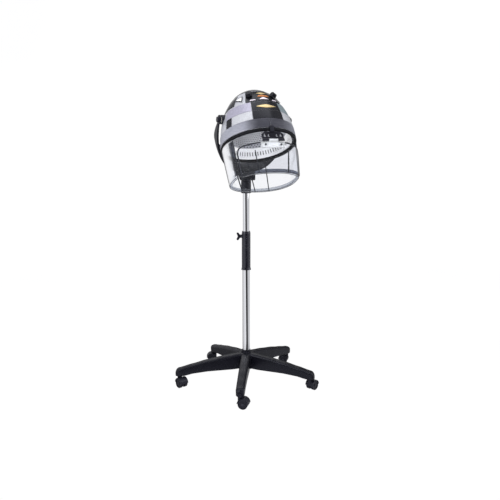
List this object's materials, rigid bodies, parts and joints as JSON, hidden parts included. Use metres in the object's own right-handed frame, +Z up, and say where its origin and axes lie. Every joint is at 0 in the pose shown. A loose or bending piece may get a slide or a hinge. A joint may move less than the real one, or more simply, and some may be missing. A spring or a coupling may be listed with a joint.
{
  "type": "hood hair dryer on a five-star caster stand",
  "caption": "Salon hood dryer: tilting dome with control panel, clear lift-up visor and rear skirt, carried by a yoke on a height-adjustable pole with a caster star base.",
  "frame": {"origin": "on the floor, on the axis of the pole", "axes": "+Z up along the pole, -Y towards the front of the hood, +X to the right of someone looking along +Y"},
  "size_m": [0.6446, 0.6983, 1.3623],
  "materials": {
    "band_metal": "brushed grey",
    "black_plastic": "satin moulded",
    "caster_wheel": "satin",
    "chrome": "polished",
    "clear_sheet": "clear",
    "gasket_rubber": "matt",
    "gloss_black": "gloss",
    "gold_trim": "satin",
    "inner_metal": "satin",
    "lens_white": "gloss",
    "mica": "matt",
    "motor_steel": "satin",
    "nylon_white": "satin",
    "resistance_wire": "oxidised",
    "silver_shell": "metallic grey",
    "silver_tile": "metallic silver",
    "smoked_plate": "smoked",
    "white_plastic": "satin"
  },
  "bodies": {
    "base": {"base_star": "black_plastic", "hub_collar": "black_plastic", "lower_tube": "chrome", "collar_sleeve": "black_plastic", "collar_clamp": "black_plastic", "guide_bush": "nylon_white"},
    "clamp_knob": {"wing_knob": "black_plastic"},
    "pole": {"upper_tube": "chrome", "tube_plug": "black_plastic"},
    "yoke": {"yoke_socket": "black_plastic", "yoke_cradle": "black_plastic"},
    "hood": {"pivot_hubs": "black_plastic", "pivot_washers": "nylon_white", "front_shell": "silver_shell", "rear_shell": "silver_shell", "metal_band": "band_metal", "rim_gasket": "gasket_rubber", "light_tiles": "silver_tile", "dark_tiles": "gloss_black", "control_panel": "gloss_black", "timer_unit": "nylon_white", "thermostat_unit": "motor_steel", "oval_badge": "gold_trim", "indicator_lenses": "lens_white", "crown_cap": "gloss_black", "intake_grilles": "black_plastic", "air_bowl": "white_plastic", "ceiling_grille": "inner_metal", "fan_shroud": "inner_metal", "fan_motor": "motor_steel", "motor_bridge": "inner_metal", "heater_frame": "mica", "heater_coil": "resistance_wire", "thermal_cutout": "nylon_white", "terminal_block": "nylon_white", "supply_lead": "gasket_rubber", "hinge_bracket": "black_plastic", "hinge_pin": "chrome", "rear_skirt": "clear_sheet"},
    "left_tilt_knob": {"left_pivot_knob": "black_plastic"},
    "right_tilt_knob": {"right_pivot_knob": "black_plastic"},
    "timer_dial": {"timer_knob": "gloss_black"},
    "heat_dial": {"heat_knob": "gloss_black"},
    "fan": {"fan_shaft": "inner_metal", "fan_wheel": "black_plastic"},
    "visor": {"visor_clamp": "smoked_plate", "clamp_screws": "black_plastic", "front_visor": "clear_sheet"},
    "caster_1": {"caster_1_housing": "black_plastic"},
    "caster_1_rollers": {"caster_1_wheels": "caster_wheel"},
    "caster_2": {"caster_2_housing": "black_plastic"},
    "caster_2_rollers": {"caster_2_wheels": "caster_wheel"},
    "caster_3": {"caster_3_housing": "black_plastic"},
    "caster_3_rollers": {"caster_3_wheels": "caster_wheel"},
    "caster_4": {"caster_4_housing": "black_plastic"},
    "caster_4_rollers": {"caster_4_wheels": "caster_wheel"},
    "caster_5": {"caster_5_housing": "black_plastic"},
    "caster_5_rollers": {"caster_5_wheels": "caster_wheel"}
  },
  "joints": [
    {"name": "pole_height", "type": "slide", "parent": "base", "child": "pole", "axis": [0, 0, 1], "range_m": [-0.165, 0.22]},
    {"name": "clamp_knob_turn", "type": "hinge", "parent": "base", "child": "clamp_knob", "pos_m": [-0.03, 0, 0.708], "axis": [-1, 0, 0], "range_deg": [0, 360]},
    {"name": "yoke_swivel", "type": "hinge", "parent": "pole", "child": "yoke", "pos_m": [0, 0, 0.93], "axis": [0, 0, 1], "range_deg": [-170, 170]},
    {"name": "hood_tilt", "type": "hinge", "parent": "yoke", "child": "hood", "pos_m": [0, -0.112, 1.232], "axis": [-1, 0, 0], "range_deg": [-8, 30]},
    {"name": "left_tilt_knob_turn", "type": "hinge", "parent": "hood", "child": "left_tilt_knob", "pos_m": [-0.167, -0.112, 1.232], "axis": [-1, 0, 0], "range_deg": [0, 180]},
    {"name": "right_tilt_knob_turn", "type": "hinge", "parent": "hood", "child": "right_tilt_knob", "pos_m": [0.167, -0.112, 1.232], "axis": [1, 0, 0], "range_deg": [0, 180]},
    {"name": "timer_dial_turn", "type": "hinge", "parent": "hood", "child": "timer_dial", "pos_m": [-0.05188, -0.18388, 1.3252], "axis": [0.3775, 0.4677, -0.7992], "range_deg": [0, 300]},
    {"name": "heat_dial_turn", "type": "hinge", "parent": "hood", "child": "heat_dial", "pos_m": [0.05188, -0.18388, 1.3252], "axis": [-0.3775, 0.4677, -0.7992], "range_deg": [0, 180]},
    {"name": "fan_spin", "type": "hinge", "parent": "hood", "child": "fan", "pos_m": [0, -0.1008, 1.25657], "axis": [0, 0.4147, 0.91], "continuous": true},
    {"name": "visor_lift", "type": "hinge", "parent": "hood", "child": "visor", "pos_m": [0, -0.33033, 1.14358], "axis": [-1, 0, 0], "range_deg": [0, 75]},
    {"name": "caster_1_swivel", "type": "hinge", "parent": "base", "child": "caster_1", "pos_m": [-0.13292, -0.29438, 0.05], "axis": [0, 0, 1], "continuous": true},
    {"name": "caster_1_roll", "type": "hinge", "parent": "caster_1", "child": "caster_1_rollers", "pos_m": [-0.12063, -0.30299, 0.022], "axis": [0.5736, 0.8192, 0], "continuous": true},
    {"name": "caster_2_swivel", "type": "hinge", "parent": "base", "child": "caster_2", "pos_m": [0.2389, -0.21738, 0.05], "axis": [0, 0, 1], "continuous": true},
    {"name": "caster_2_roll", "type": "hinge", "parent": "caster_2", "child": "caster_2_rollers", "pos_m": [0.25215, -0.21034, 0.022], "axis": [-0.4695, 0.8829, 0], "continuous": true},
    {"name": "caster_3_swivel", "type": "hinge", "parent": "base", "child": "caster_3", "pos_m": [0.28057, 0.16003, 0.05], "axis": [0, 0, 1], "continuous": true},
    {"name": "caster_3_roll", "type": "hinge", "parent": "caster_3", "child": "caster_3_rollers", "pos_m": [0.26758, 0.16753, 0.022], "axis": [-0.5, -0.866, 0], "continuous": true},
    {"name": "caster_4_swivel", "type": "hinge", "parent": "base", "child": "caster_4", "pos_m": [-0.0655, 0.31629, 0.05], "axis": [0, 0, 1], "continuous": true},
    {"name": "caster_4_roll", "type": "hinge", "parent": "caster_4", "child": "caster_4_rollers", "pos_m": [-0.07999, 0.32017, 0.022], "axis": [-0.2588, -0.9659, 0], "continuous": true},
    {"name": "caster_5_swivel", "type": "hinge", "parent": "base", "child": "caster_5", "pos_m": [-0.32105, 0.03544, 0.05], "axis": [0, 0, 1], "continuous": true},
    {"name": "caster_5_roll", "type": "hinge", "parent": "caster_5", "child": "caster_5_rollers", "pos_m": [-0.31592, 0.02135, 0.022], "axis": [0.9397, 0.342, 0], "continuous": true}
  ]
}
